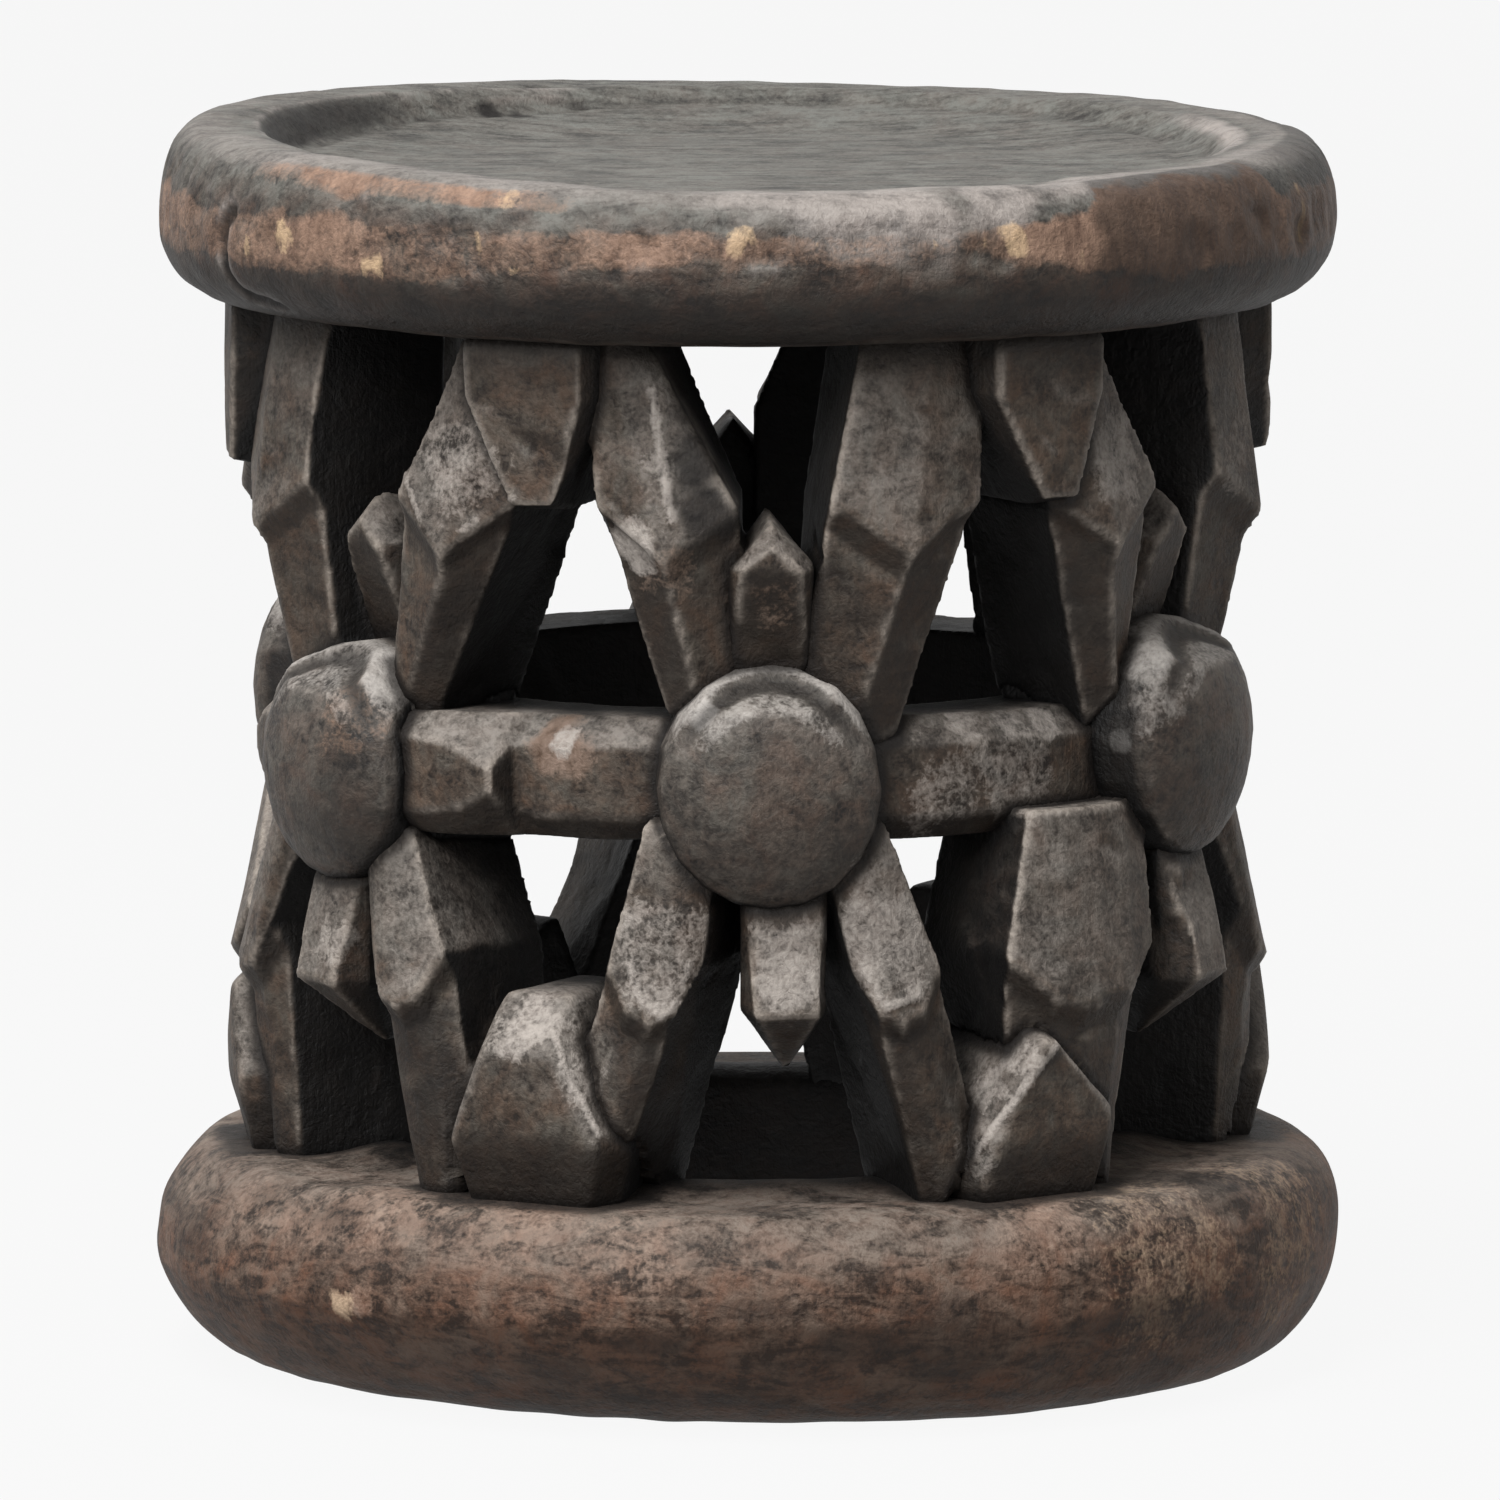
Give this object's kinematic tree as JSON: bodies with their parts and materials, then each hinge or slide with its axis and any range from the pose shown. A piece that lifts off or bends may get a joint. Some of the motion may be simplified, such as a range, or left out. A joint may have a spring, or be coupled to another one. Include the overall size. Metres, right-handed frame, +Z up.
{
  "type": "carved low stool",
  "caption": "Low round stool in dark carved wood: a dished seat and a thick ring base joined by an openwork drum of stylised spiders with faceted legs.",
  "frame": {"origin": "centre of the underside of the base, on the floor", "axes": "+Z up through the seat, -Y towards the viewer of the picture, +X to the viewer's right"},
  "size_m": [0.364, 0.364, 0.3798],
  "materials": {
    "seat_wood": "dark aged wood, dusty grey on top, rubbed reddish-brown round the rim",
    "base_wood": "dark reddish-brown aged wood, dusty on its upper edge",
    "openwork_wood": "very dark adzed wood, matte, paler on its ridges",
    "body_wood": "very dark adzed wood, slightly handled sheen"
  },
  "bodies": {
    "root": {"seat": "seat_wood", "base": "base_wood", "middle_band": "openwork_wood", "top_knob_1": "openwork_wood", "bottom_knob_1": "openwork_wood", "top_knob_2": "openwork_wood", "bottom_knob_2": "openwork_wood", "top_knob_3": "openwork_wood", "bottom_knob_3": "openwork_wood", "top_knob_4": "openwork_wood", "bottom_knob_4": "openwork_wood", "top_knob_5": "openwork_wood", "bottom_knob_5": "openwork_wood", "top_knob_6": "openwork_wood", "bottom_knob_6": "openwork_wood", "spider_1_body": "body_wood", "spider_1_head": "openwork_wood", "spider_1_tail": "openwork_wood", "spider_1_upper_left_leg": "openwork_wood", "spider_1_upper_right_leg": "openwork_wood", "spider_1_lower_left_leg": "openwork_wood", "spider_1_lower_right_leg": "openwork_wood", "spider_2_body": "body_wood", "spider_2_head": "openwork_wood", "spider_2_tail": "openwork_wood", "spider_2_upper_left_leg": "openwork_wood", "spider_2_upper_right_leg": "openwork_wood", "spider_2_lower_left_leg": "openwork_wood", "spider_2_lower_right_leg": "openwork_wood", "spider_3_body": "body_wood", "spider_3_head": "openwork_wood", "spider_3_tail": "openwork_wood", "spider_3_upper_left_leg": "openwork_wood", "spider_3_upper_right_leg": "openwork_wood", "spider_3_lower_left_leg": "openwork_wood", "spider_3_lower_right_leg": "openwork_wood", "spider_4_body": "body_wood", "spider_4_head": "openwork_wood", "spider_4_tail": "openwork_wood", "spider_4_upper_left_leg": "openwork_wood", "spider_4_upper_right_leg": "openwork_wood", "spider_4_lower_left_leg": "openwork_wood", "spider_4_lower_right_leg": "openwork_wood", "spider_5_body": "body_wood", "spider_5_head": "openwork_wood", "spider_5_tail": "openwork_wood", "spider_5_upper_left_leg": "openwork_wood", "spider_5_upper_right_leg": "openwork_wood", "spider_5_lower_left_leg": "openwork_wood", "spider_5_lower_right_leg": "openwork_wood", "spider_6_body": "body_wood", "spider_6_head": "openwork_wood", "spider_6_tail": "openwork_wood", "spider_6_upper_left_leg": "openwork_wood", "spider_6_upper_right_leg": "openwork_wood", "spider_6_lower_left_leg": "openwork_wood", "spider_6_lower_right_leg": "openwork_wood"}
  },
  "joints": []
}
